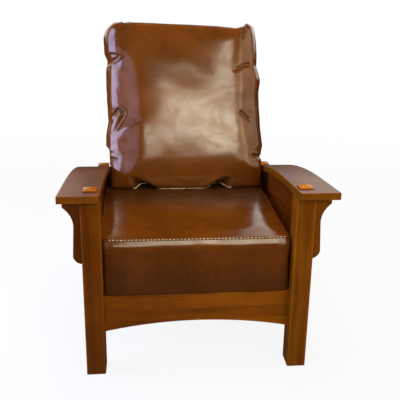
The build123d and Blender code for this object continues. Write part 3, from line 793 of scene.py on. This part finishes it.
class ARMCHAIR_OT_seat_pad(Operator):
    """Makes the boxed leather seat cushion, its top seam and its saddle stitches"""

    bl_idname = "armchair.seat_pad"
    bl_label = "Seat cushion"

    def execute(self, context):
        pad = context.scene.armchair_seat
        leather = bpy.data.materials["waxed_leather"]
        shell, quads, places, counts, unit = seat_shape(pad)
        shell = relaxed(shell, quads, 2)
        rim = bell(unit[:, 2], 1, 0.05) * rise(np.abs(unit[:, :2]).max(1), 0.94, 1.0)
        held = np.maximum(rise(-unit[:, 2], 0.7, 1.0), 0.6 * rim)
        at_seam = rise(unit[:, 2], 0.30, 0.70) * rise(-unit[:, 1], 0.75, 0.92)
        swell = swollen(shell, quads, held, cap=0.003, rounds=8) - shell
        shell = shell + swell * (1 - at_seam)[:, None]
        fine, fine_quads = subdivided(shell, quads)
        fine = seat_front_slope(fine, vertex_normals(fine, fine_quads))
        normals = vertex_normals(fine, fine_quads)
        fine = fine + normals * seat_folds(fine)[:, None]
        # It keeps clear of the back cushion's foot, the deck, the legs and the side rails
        before = SEAT_LOW[1] + pad.sit_length - 0.004 - fine[:, 1]
        lid = BACK_FOOT - 0.0008 + (pad.crown + 0.002) * rise(before, 0, 0.05)
        fine[:, 2] = np.clip(fine[:, 2], SEAT_LOW[2] + 0.0002, lid)
        left_room = LEG_ROOM + RAIL_ROOM * rise(fine[:, 1], LEG_REAR + 0.001, LEG_REAR + 0.028)
        fine[:, 0] = np.clip(fine[:, 0] - 2 * SEAT_SLIDE[0], -left_room, LEG_ROOM)
        piece = make_piece("seat_pad", fine, fine_quads, leather)
        # Painted shade: the leather is painted darker towards the back cushion, in its shadow, and over the
        # front face, most low down
        _, y, z = fine.T
        painted_shadow = (0.72 * rise(y, -0.20, 0.03) + 0.28 * rise(y, 0.112, 0.130)) * rise(z, 0.42, 0.43)
        front = (0.10 + 0.25 * (1 - rise(z, 0.26, 0.38))) * (1 - rise(z, 0.385, 0.41))
        mark_painted_shade(piece, np.maximum(painted_shadow, front * (1 - rise(y, -0.352, -0.340))))
        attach(piece, "frame")
        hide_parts("seat_cushion")
        normals = vertex_normals(fine, fine_quads)
        path, lifts, front_count = seat_seam_path(places, counts, fine, normals)
        self.make_welt(path, lifts, leather)
        self.make_stitches(path[:front_count + 1], lifts[:front_count + 1], pad, leather)
        return {"FINISHED"}

    def make_welt(self, path, lifts, leather):
        """A slim welt all round the top edge."""
        points, faces = tube(path + lifts * 0.0006, 0.0017, 10, closed=True)
        welt = make_piece("seat_welt", points, faces, leather)
        mark_painted_shade(welt, np.zeros(len(points)))
        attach(welt, "frame")

    def make_stitches(self, path, lifts, pad, leather):
        """The front seam's rolled edge, pinched between stitches, and a pale thread stitch on each swell.

        The roll's radius is full less a pinch of the power 6 of a cosine, whose period is the stitch
        pitch; a stitch is a capsule along the seam, as thick as the root of 1 - u⁴."""
        line, walked = (steps[6:-6] for steps in evened(path + lifts * 0.0008, 0.00115))
        beat = np.abs(np.cos(np.pi * walked / pad.stitch_pitch)) ** 6
        sides = 12
        points, faces = tube(line, 0.0028 * (1 - 0.35 * beat), sides)
        roll = make_piece("seat_front_roll", points, faces, leather)
        # Painted shade in the pinches between the stitches
        mark_painted_shade(roll, np.repeat(beat * 0.9, sides))
        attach(roll, "frame")
        first = math.ceil(walked[0] / pad.stitch_pitch) + 0.5
        marks = np.arange(first * pad.stitch_pitch, walked[-1] - pad.stitch_pitch / 2, pad.stitch_pitch)
        along = np.linspace(-1, 1, 9)
        thick = 0.5 * pad.stitch_thick * np.sqrt(np.maximum(1 - along ** 4, 0.04))
        sewn = []
        for mark in marks:
            reach = mark + along * pad.stitch_long / 2
            spine = np.stack([np.interp(reach, walked, line[:, axis]) for axis in range(3)], 1)
            sewn.append(tube(spine + STITCH_LIFT, thick, 8))
        stitches = make_piece("seat_stitches", *joined(sewn), bpy.data.materials["saddle_thread"])
        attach(stitches, "frame")


# Back cushion


BACK_HALF = np.array((0.277, 0.3065, 0.0775))
BACK_MIDDLE = 0.0945  # distance of the pillow's middle from the pivots, square to the back
BACK_REAR = 0.0165  # nearest to the pivots that its rear face comes, clear of the back's slats
BACK_TOP = 0.797  # height of its top, up the back from the pivots
SIDE_ROOM = 0.2845  # its greatest reach between the side rails
ROLL_HEIGHTS = (-0.6, 0.0, 0.4, 0.7)
LEFT_ROLL = (1.60, 1.55, 1.30, 0.65)  # the side rolls' widths at those heights, in roll widths
RIGHT_ROLL = (0.75, 1.05, 1.10, 1.00)


def back_to_world(local):
    """Local x, height up the back and distance out from it, as points of the row frame."""
    x, s, t = local.T
    return PIVOT + s[:, None] * UP_BACK + t[:, None] * OUT_BACK + x[:, None] * np.array((1.0, 0, 0))


def back_from_world(points):
    """The reverse of back_to_world."""
    offset = points - PIVOT
    return np.stack([points[:, 0], offset @ UP_BACK, offset @ OUT_BACK], 1)


def back_shape(pad):
    """The back pillow's shell in its own axes: x, up the back, out from the back.

    A rounded box whose sides are full rolls; its foot is cut level with the seat, so a point's
    height runs from the seat's level there to the top. Mesh lines crowd towards the sides as
    1.35u - 0.35u³."""
    counts = np.maximum((2 * BACK_HALF / pad.mesh_step).round().astype(int), 4)
    places, quads = box_lattice(counts)
    unit = places / counts * 2 - 1
    unit[:, 0] = 1.35 * unit[:, 0] - 0.35 * unit[:, 0] ** 3
    foot = rise(-unit[:, 1], 0.55, 1.0)
    left, right = (np.interp(unit[:, 1], ROLL_HEIGHTS, roll) for roll in (LEFT_ROLL, RIGHT_ROLL))
    roll = pad.roll_width * np.where(unit[:, 0] < 0, left, right)
    rounds = np.stack([
        roll * (1 - foot) + 0.034 * foot,
        np.where(unit[:, 1] > 0, pad.top_round, 0.014),
        0.076 * (1 - foot) + 0.022 * foot,
    ], 1)
    x, s, t = soft_box(unit, BACK_HALF, rounds).T
    front = rise(t / BACK_HALF[2], -0.2, 0.9)
    t = t + front * pad.crown * (1 - (x / BACK_HALF[0]) ** 2) * (1 - 0.5 * rise(s, 0.15, 0.30))
    t = t + BACK_MIDDLE
    floor = (BACK_FOOT + 0.0006 - PIVOT[2] - t * math.sin(LEAN)) / math.cos(LEAN)
    share = (s + BACK_HALF[1]) / (2 * BACK_HALF[1])
    s = floor + share * (BACK_TOP - floor)
    return np.stack([x, s, t], 1), quads, places, counts, unit


# The cushion's outline, seen square to it: height against the sides' x, and x against the top's height
LEFT_SIDE = (
    (0.190, -0.281), (0.275, -0.283), (0.299, -0.291), (0.335, -0.298), (0.390, -0.298), (0.445, -0.288),
    (0.504, -0.291), (0.554, -0.294), (0.627, -0.294), (0.663, -0.287), (0.688, -0.299), (0.750, -0.301),
    (0.775, -0.294), (0.800, -0.272),
)
RIGHT_SIDE = (
    (0.190, 0.281), (0.283, 0.285), (0.305, 0.281), (0.350, 0.291), (0.407, 0.283), (0.519, 0.277),
    (0.556, 0.277), (0.593, 0.284), (0.619, 0.277), (0.645, 0.268), (0.667, 0.271), (0.723, 0.268),
    (0.760, 0.263), (0.785, 0.256), (0.800, 0.247),
)
TOP_EDGE = (
    (-0.300, 0.772), (-0.285, 0.788), (-0.262, 0.798), (-0.235, 0.799), (-0.100, 0.796), (-0.018, 0.793),
    (0.114, 0.789), (0.188, 0.783), (0.206, 0.788), (0.222, 0.801), (0.245, 0.803), (0.262, 0.796),
    (0.290, 0.786),
)


def curve(value, stations, soft=0.006):
    """A line through given stations, its corners rounded by a running mean weighted as a bell."""
    places, levels = np.array(stations).T
    grid = np.arange(places[0] - 0.05, places[-1] + 0.05, soft / 4)
    weights = bell(np.arange(-12, 13) / 4, 0, 1)
    line = np.pad(np.interp(grid, places, levels), 12, mode="edge")
    return np.interp(value, grid, np.convolve(line, weights / weights.sum(), mode="valid"))


def fit_outline(local):
    """Draws the swollen pillow's sides and top to the outline, more the nearer they lie to it."""
    x, s, t = local.T
    for sign, stations in ((-1, LEFT_SIDE), (1, RIGHT_SIDE)):
        own = np.sign(x) == sign
        reach = reach_along(s[own], np.abs(x[own]), s.min(), BACK_TOP - 0.002, 48)
        wanted = np.abs(curve(s[own], stations))
        x[own] *= 1 + (wanted / reach - 1) * rise(np.abs(x[own]) / reach, 0.35, 1.0)
    top = reach_along(x, s, x.min(), x.max(), 60)
    s = s + (curve(x, TOP_EDGE) - top) * rise(s, 0.70, 0.79)
    return np.stack([x, s, t], 1)


# Each groove: its path as x and height, depth, half width, and height of the lip on its left side
GROOVES = (
    (((0.168, 0.619), (0.190, 0.6315), (0.209, 0.6407), (0.226, 0.6440), (0.244, 0.6445)),
     0.0030, 0.0065, 0.0),
    (((0.190, 0.476), (0.203, 0.464), (0.219, 0.450), (0.236, 0.438)), 0.0040, 0.0090, 0.0),
    (((0.222, 0.806), (0.212, 0.786), (0.208, 0.762), (0.206, 0.735)), 0.0040, 0.0055, 0.0015),
    (((-0.236, 0.812), (-0.224, 0.796), (-0.205, 0.786)), 0.0030, 0.0055, 0.0015),
    (((-0.300, 0.302), (-0.270, 0.300), (-0.250, 0.296)), 0.0030, 0.0060, 0.0010),
    (((0.300, 0.306), (0.262, 0.308), (0.236, 0.314)), 0.0040, 0.0065, 0.0016),
    (((-0.064, 0.226), (-0.020, 0.214), (0.020, 0.200)), 0.0012, 0.0100, 0.0),
    (((0.068, 0.228), (0.046, 0.214), (0.024, 0.200)), 0.0012, 0.0100, 0.0),
    (((-0.250, 0.409), (-0.214, 0.424), (-0.160, 0.448)), 0.0007, 0.0110, 0.0006),
)
# Each pocket: a path clockwise round it, depth, width of its slope inwards, and height of its rim
POCKETS = (
    (((-0.290, 0.684), (-0.265, 0.6845), (-0.2515, 0.681), (-0.2375, 0.672), (-0.2475, 0.660),
      (-0.266, 0.6495), (-0.290, 0.639)), 0.0060, 0.0085, 0.0024),
    (((-0.274, 0.452), (-0.266, 0.472), (-0.257, 0.4855), (-0.247, 0.489), (-0.236, 0.485), (-0.225, 0.475),
      (-0.2225, 0.465), (-0.2265, 0.454), (-0.2365, 0.440), (-0.2556, 0.413), (-0.271, 0.400)),
     0.0085, 0.0130, 0.0026),
)
# Each tuck of the hem: x of its foot, x of its tip, widths to its left and right, and height
HEM_TUCKS = ((-0.158, -0.196, 0.024, 0.042, 0.050), (0.108, 0.146, 0.036, 0.032, 0.050))
HEM = 0.186  # height of the hem, up the back from the pivots
# Where the hem's piping shows, between the places where the tucks and the seat hide it
PIPING = ((-0.200, -0.150), (-0.114, 0.112), (0.121, 0.166))


def back_folds(local):
    """Heights of the back pillow's folds along its normals, and the painted shade each point gets in the
    grooves and pockets.

    A groove is one bell of the distance from its path, with a lip, another bell, on the left of the
    path. A pocket drops steeply on the right of its path and rises again as a bell. Both fade at the
    path's ends. Low ripples of 50 to 160 mm lie over the front."""
    x, s, t = local.T
    plan = local[:, :2]
    front = rise(t, 0.055, 0.105)
    height = np.zeros(len(x))
    depth = np.zeros(len(x))
    for path, groove, width, lip in GROOVES:
        away, side, share = stroke(plan, path)
        fade = rise(share, -0.02, 0.22) * (1 - rise(share, 0.78, 1.02))
        cut = bell(away, 0, width) * fade
        height -= groove * cut
        height += lip * bell(away * np.where(side > 0, 1, 1.6), width * 1.9, width * 1.1) * fade
        # Painted shade: each groove's share is kept for darkening its hollow
        depth = np.maximum(depth, cut * min(groove / 0.005, 1))
    for path, deep, slope, rim in POCKETS:
        away, side, share = stroke(plan, path)
        fade = rise(share, -0.02, 0.16) * (1 - rise(share, 0.84, 1.02))
        inner = -side * away
        drop = rise(inner, -0.0012, 0.0045) * bell(inner, 0.0, slope)
        height -= deep * drop * fade
        height += rim * bell(inner, -0.0015, 0.0042) * fade
        depth = np.maximum(depth, 0.6 * drop * fade)
    height = height * front
    depth = depth * front
    height += front * 0.0003 * ripple(plan, 0.16, 3) * rise(s, 0.22, 0.30)
    height += front * 0.0003 * ripple(plan, 0.05, 8) * rise(np.abs(x), 0.14, 0.25)
    return height, depth * 0.6


def hem_tucks(local):
    """Rolls the foot of the front under and draws the hem in and up at two tucks, leaning soft wedges; also
    gives the painted shade in the tucks and along the hem.

    The roll is a parabola of the height below where it starts. A tuck's share is a bell of the third
    power across it, narrower higher up, times 1 - c² of the climb c to its tip."""
    x, s, t = local.T
    front = rise(t, 0.085, 0.125)
    over_hem = np.clip(s - HEM, 0, None)
    depth = np.zeros(len(x))
    for foot, tip, left, right, tall in HEM_TUCKS:
        climb = np.clip(over_hem / tall, 0, 1)
        offset = x - (foot + (tip - foot) * climb)
        width = np.where(offset < 0, left, right) * (1 - 0.6 * climb)
        depth = np.maximum(depth, np.exp(-np.abs(offset / width) ** 3) * (1 - climb ** 2))
    depth = depth * front
    # Painted shade along the hem, fading out 30 mm above it; the tucks' share is painted shade too
    painted_shading = 0.5 * (1 - rise(over_hem, 0.0, 0.030)) * front
    roll_start = 0.312 + 0.020 * rise(x, 0.02, 0.20)
    drawn_in, drawn_up = 0.036, 0.020
    t = t - drawn_in * depth - front * np.clip(roll_start - s, 0, None) ** 2 / 1.2
    s = s + drawn_up * depth * (1 - rise(over_hem, 0.0, 0.055))
    return np.stack([x, s, t], 1), np.maximum(depth, painted_shading)


class ARMCHAIR_OT_back_pad(Operator):
    """Makes the loose leather back cushion with its folds and the piping of its hem"""

    bl_idname = "armchair.back_pad"
    bl_label = "Back cushion"

    def execute(self, context):
        pad = context.scene.armchair_back
        leather = bpy.data.materials["waxed_leather"]
        local, quads, places, counts, unit = back_shape(pad)
        local = relaxed(local, quads, 3)
        held = np.maximum.reduce([
            rise(-unit[:, 2], 0.6, 1.0), rise(-unit[:, 1], 0.93, 1.0),
            0.35 * rise(np.abs(unit[:, 0]), 0.9, 1.0), 0.8 * rise(unit[:, 1], 0.93, 1.0),
        ])
        shell = swollen(back_to_world(local), quads, held, cap=0.006, rounds=10)
        fine, fine_quads = subdivided(shell, quads)
        local = fit_outline(back_from_world(fine))
        local, painted_hem_shade = hem_tucks(local)
        heights, depth = back_folds(local)
        world = back_to_world(local)
        world = world + vertex_normals(world, fine_quads) * heights[:, None]
        # It keeps clear of the seat, the slats and, up to the arms, the side rails
        world[:, 2] = np.maximum(world[:, 2], BACK_FOOT + 0.0003)
        local = back_from_world(world)
        local[:, 2] = np.maximum(local[:, 2], BACK_REAR)
        room = SIDE_ROOM + rise(local[:, 1], 0.33, 0.42) * 0.1
        local[:, 0] = np.clip(local[:, 0], -room, room)
        world = back_to_world(local)
        piece = make_piece("back_pad", world, fine_quads, leather)
        # Painted shade in the grooves, the pockets, the tucks and along the hem
        mark_painted_shade(piece, np.maximum(depth, painted_hem_shade))
        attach(piece, "back")
        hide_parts("back_cushion")
        hem = np.nonzero((places[:, 1] == 0) & (places[:, 2] == counts[2]))[0]
        hem = hem[np.argsort(places[hem, 0])]
        self.make_piping(world[hem] + vertex_normals(world, fine_quads)[hem] * 0.0012)
        return {"FINISHED"}

    def make_piping(self, hem):
        """Slim cords along the hem, as thick as the root of 1 - u⁸ from end to end."""
        line, _ = evened(hem, 0.003)
        line[:, 2] = np.maximum(line[:, 2], BACK_FOOT + 0.0020)
        cords = []
        for first, last in PIPING:
            shown = line[(line[:, 0] > first) & (line[:, 0] < last)]
            ends = np.abs(np.linspace(-1, 1, len(shown)))
            cords.append(tube(shown, 0.0018 * np.sqrt(np.maximum(1 - ends ** 8, 0.05)), 10))
        piping = make_piece("back_piping", *joined(cords), bpy.data.materials["painted_highlight_piping"])
        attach(piping, "back")


# Wood and hardware


# The squared pieces: their grain's axis, the axes across which their edges are rubbed, and how
SQUARED = (
    (("leg_front_left", "leg_front_right", "leg_rear_left", "leg_rear_right"), "z", (0, 1), "bar"),
    (("front_rail", "rear_rail"), "x", (1, 2), "bar"),
    (("side_bottom_rail_left", "side_bottom_rail_right", "rod_rack_left", "rod_rack_right",
      "side_top_rail_left", "side_top_rail_right"), "y", (0, 2), "bar"),
    (("arm_left", "arm_right"), "y", (0, 1), "board"),
)
# Painted light and shade per piece: the wood under the arms, the side top rails and the spindles, is painted
# darker and redder as in the arms' shade, the front rail is painted brighter and the arms darker
PAINTED_ARM_SHADE = (0.78, 0.56, 0.80)
PAINTED_LIGHT_LEVELS = {
    "front_rail": (1.38,) * 3, "side_top_rail_left": PAINTED_ARM_SHADE, "side_top_rail_right": PAINTED_ARM_SHADE,
    "arm_left": (0.95,) * 3, "arm_right": (0.62,) * 3,
}
LEG_TIP = 0.0065  # height of the pyramid on a leg's end


class ARMCHAIR_OT_wood(Operator):
    """Gives every wooden piece stained wood with its grain along its length"""

    bl_idname = "armchair.wood"
    bl_label = "Stained wood"

    def execute(self, context):
        for names, along, across, edges in SQUARED:
            for name in names:
                low, high = (np.array(corner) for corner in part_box(name))
                centre = tuple((low + high) / 2)
                half = [float((high - low)[axis] / 2) if axis in across else 0 for axis in range(3)]
                tip = float(high[2]) - LEG_TIP if name.startswith("leg") else None
                painted_shading = PAINTED_LIGHT_LEVELS.get(name, (1, 1, 1))
                dress(name, wood_finish(name + "_wood", along, centre, half, edges, painted_shading=painted_shading, tip=tip))
        kinds = {
            "corbel": wood_finish("upright_wood", "z"),
            # The spindles get the painted shade under the arms
            "spindle": wood_finish("spindle_wood", "z", painted_shading=PAINTED_ARM_SHADE),
            "back_post": wood_finish("back_post_wood", "z", tuple(PIVOT), turn=-LEAN),
            "back_slat": wood_finish("back_slat_wood", "x", tuple(PIVOT), turn=-LEAN),
            "deck_slats": bare_wood_finish(),
        }
        kinds["seat_bearer"] = kinds["deck_slats"]
        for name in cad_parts:
            for start, material in kinds.items():
                if name.startswith(start):
                    dress(name, material)
        return {"FINISHED"}


class ARMCHAIR_OT_hardware(Operator):
    """Gives the support rod, the pivot bolts and their spacers brass, steel and plastic"""

    bl_idname = "armchair.hardware"
    bl_label = "Rod and pivots"

    def execute(self, context):
        brass = metal_finish("aged_brass", tone("b08a4a"), tone("6e5026"), 0.22, (1, 0.05, 0.05))
        steel = metal_finish("plain_steel", tone("9a9a98"), tone("5c5a56"), 0.28, (0.05, 1, 1))
        dress("support_rod", brass)
        dress("pivot_bolts", steel)
        dress("pivot_spacers", plastic_finish())
        return {"FINISHED"}


class ARMCHAIR_OT_leather(Operator):
    """Makes the leather and thread materials that the cushions use"""

    bl_idname = "armchair.leather"
    bl_label = "Leather and thread"

    def execute(self, context):
        leather_finish()
        thread_finish()
        piping_finish()
        return {"FINISHED"}


# Studio


def pale_surface(name, colour, camera_share):
    """Pale paint that cameras see partly as plain white, and wholly so far away.

    Mirrors see it dark, but for two pale bands high on the wall, left and right of the chair."""
    finish = Finish(name)
    camera = finish.ray("Is Camera Ray")
    glossy = finish.ray("Is Glossy Ray").highest(finish.ray("Is Transmission Ray"))
    place = finish.object_place()
    far = finish.add("ShaderNodeVectorMath", {"operation": "LENGTH"}, {0: place}, out=1).between(1.2, 3.4)
    across, _, height = finish.parts(place)
    bands = across.between(0.3, 1.7) * 0.9 + across.between(-0.5, -1.2) * 0.9 + 0.05
    seen = camera * (far * (1 - camera_share) + camera_share)
    seen = seen.highest(glossy * bands * height.between(0.7, 1.4))
    bounced = finish.mix(glossy, tinted(colour, 0.4), tinted(colour, 0.08))
    paint = finish.add("ShaderNodeBsdfDiffuse", None, {"Color": finish.mix(camera, bounced, colour)})
    glow = finish.add("ShaderNodeEmission", None, {"Color": finish.mix(glossy, (1, 1, 1), (1.8, 1.8, 1.8))})
    both = finish.add("ShaderNodeMixShader", None, {0: seen, 1: paint, 2: glow})
    finish.add("ShaderNodeOutputMaterial", None, {"Surface": both})
    return finish.owner


def area_light(name, place, target, size, power, colour, spread=math.pi, mirrored=True, lean=0.0):
    """A rectangular light facing a target, leant in its own plane; glossy faces mirror it or don't."""
    lamp = bpy.data.lights.new(name, "AREA")
    lamp.shape = "RECTANGLE"
    lamp.size, lamp.size_y = size
    lamp.energy = power
    lamp.color = colour
    lamp.spread = spread
    light = bpy.data.objects.new(name, lamp)
    light.location = place
    facing = (Vector(target) - Vector(place)).to_track_quat("-Z", "Y")
    light.rotation_euler = (facing @ Quaternion((0, 0, 1), lean)).to_euler()
    light.visible_camera = False
    light.visible_glossy = mirrored
    bpy.context.scene.collection.objects.link(light)


class ARMCHAIR_OT_studio(Operator):
    """Makes the floor, the backdrop, the lights and the camera"""

    bl_idname = "armchair.studio"
    bl_label = "Studio"

    def execute(self, context):
        scene = context.scene
        look = scene.armchair_studio
        scene.view_settings.view_transform = "Standard"
        reach, far, tall = 9.0, 4.2, 6.0
        ground = [(-reach, -reach, 0), (reach, -reach, 0), (reach, reach, 0), (-reach, reach, 0)]
        upright = [(-reach, far, 0), (reach, far, 0), (reach, far, tall), (-reach, far, tall)]
        face = [(0, 1, 2, 3)]
        floor_paint = pale_surface("floor_paint", tone("e9e7e4"), 0.88)
        floor = make_piece("floor", ground, face, floor_paint, smooth=False)
        wall_paint = pale_surface("backdrop_paint", tone("efedea"), 1.0)
        wall = make_piece("backdrop", upright, face, wall_paint, smooth=False)
        sky = Finish("studio", "worlds")
        dim, white = (
            sky.add("ShaderNodeBackground", None, {"Color": (1, 1, 1), "Strength": level})
            for level in (look.fill, 1.0)
        )
        seen = sky.add("ShaderNodeMixShader", None, {0: sky.ray("Is Camera Ray"), 1: dim, 2: white})
        sky.add("ShaderNodeOutputWorld", None, {"Surface": seen})
        scene.world = sky.owner
        self.place_lights(look)
        self.place_camera(scene, look)
        return {"FINISHED"}

    def place_lights(self, look):
        """Panes that the leather mirrors, wide lights at the sides, and lights that nothing mirrors."""
        wide, pane = math.pi, math.radians(75)
        ahead = (0, 0.15, 0.78)
        low_power = look.window_power * 0.125
        glass, cool, blue = (0.98, 0.99, 0.93), (0.62, 0.52, 1), (0.43, 0.5, 1)
        tan, warm, day = (1, 0.90, 0.72), (1, 0.94, 0.78), (1, 0.98, 0.95)
        for name, place, target, size, power, colour, spread, lean in (
            ("window", (0.46, -2.6, 1.585), ahead, (1.50, 0.52), look.window_power, glass, pane, -0.20),
            ("low_window", (-0.50, -2.6, 1.39), ahead, (0.56, 0.16), low_power, glass, pane, 0),
            ("high_window", (0.93, -2.6, 2.30), ahead, (0.42, 0.85), look.high_power, glass, pane, 0),
            ("curtain", (-2.10, -2.6, 1.60), ahead, (1.40, 0.75), look.curtain_power, cool, pane, 0),
            ("left_wall", (-2.31, -1.95, 1.50), (0, -1.95, 1.5), (1.5, 1.2), look.left_power, cool, pane, 0),
            ("side", (-2.3, -0.45, 1.2), (0, 0, 0.75), (1.7, 1.6), look.side_power, blue, wide, 0),
            ("right_wall", (1.92, -2.6, 1.60), ahead, (1.60, 1.20), look.wall_power, tan, pane, 0),
            ("warm", (2.6, -1.1, 1.5), (0, 0, 0.7), (2.6, 1.6), look.warm_power, warm, wide, 0),
        ):
            area_light(name, place, target, size, power, colour, spread, lean=lean)
        for name, place, target, size, power in (
            ("key", (0.3, -2.4, 3.6), (0, -0.2, 0.5), (2.0, 1.2), look.key_power),
            ("rear", (0.3, 2.9, 1.1), (0, 0.3, 0.6), (2.4, 1.4), look.rear_power),
            ("above", (0.0, 0.5, 2.7), (0, 0, 0.5), (1.6, 1.2), look.top_power),
        ):
            area_light(name, place, target, size, power, day, mirrored=False)

    def place_camera(self, scene, look):
        """The photograph's viewpoint: turned 6.4 degrees, tipped 18.4 degrees down, rolled 1.2.

        The shift places the chair in the frame, in shares of its width."""
        yaw, pitch, roll = -0.1112, -0.3214, 0.0213
        shift = (-0.0267, -0.0167)
        ahead = Vector((-math.sin(yaw) * math.cos(pitch), math.cos(yaw) * math.cos(pitch), math.sin(pitch)))
        level = Vector((math.cos(yaw), math.sin(yaw), 0))
        up = level.cross(ahead)
        right = math.cos(roll) * level + math.sin(roll) * up
        top = math.cos(roll) * up - math.sin(roll) * level
        data = bpy.data.cameras.new("camera")
        data.sensor_width = 36
        data.lens = look.lens
        data.shift_x, data.shift_y = shift
        camera = bpy.data.objects.new("camera", data)
        axes = Matrix((right, top, -ahead)).transposed().to_4x4()
        camera.matrix_world = Matrix.Translation(look.camera_place) @ axes
        scene.collection.objects.link(camera)
        scene.camera = camera


STEPS = (
    ARMCHAIR_OT_studio, ARMCHAIR_OT_wood, ARMCHAIR_OT_hardware, ARMCHAIR_OT_leather,
    ARMCHAIR_OT_seat_pad, ARMCHAIR_OT_back_pad,
)
GROUPS = {
    "armchair_wood": WoodLook, "armchair_leather": LeatherLook, "armchair_seat": SeatPad,
    "armchair_back": BackPad, "armchair_studio": StudioLook,
}


class ARMCHAIR_PT_panel(Panel):
    """Lists the steps and the looks"""

    bl_idname = "ARMCHAIR_PT_panel"
    bl_label = "Armchair"
    bl_space_type = "VIEW_3D"
    bl_region_type = "UI"
    bl_category = "Armchair"

    def draw(self, context):
        for step in STEPS:
            self.layout.operator(step.bl_idname)
        for group in GROUPS:
            settings = getattr(context.scene, group)
            box = self.layout.box()
            for name in settings.bl_rna.properties.keys():
                if name not in ("rna_type", "name"):
                    box.prop(settings, name)


def register():
    for name, group in GROUPS.items():
        bpy.utils.register_class(group)
        setattr(bpy.types.Scene, name, PointerProperty(type=group))
    for kind in (*STEPS, ARMCHAIR_PT_panel):
        bpy.utils.register_class(kind)


def unregister():
    for kind in (ARMCHAIR_PT_panel, *reversed(STEPS)):
        bpy.utils.unregister_class(kind)
    for name, group in GROUPS.items():
        delattr(bpy.types.Scene, name)
        bpy.utils.unregister_class(group)


def main():
    register()
    for step in STEPS:
        group, name = step.bl_idname.split(".")
        getattr(getattr(bpy.ops, group), name)()


if __name__ == "__main__":
    main()
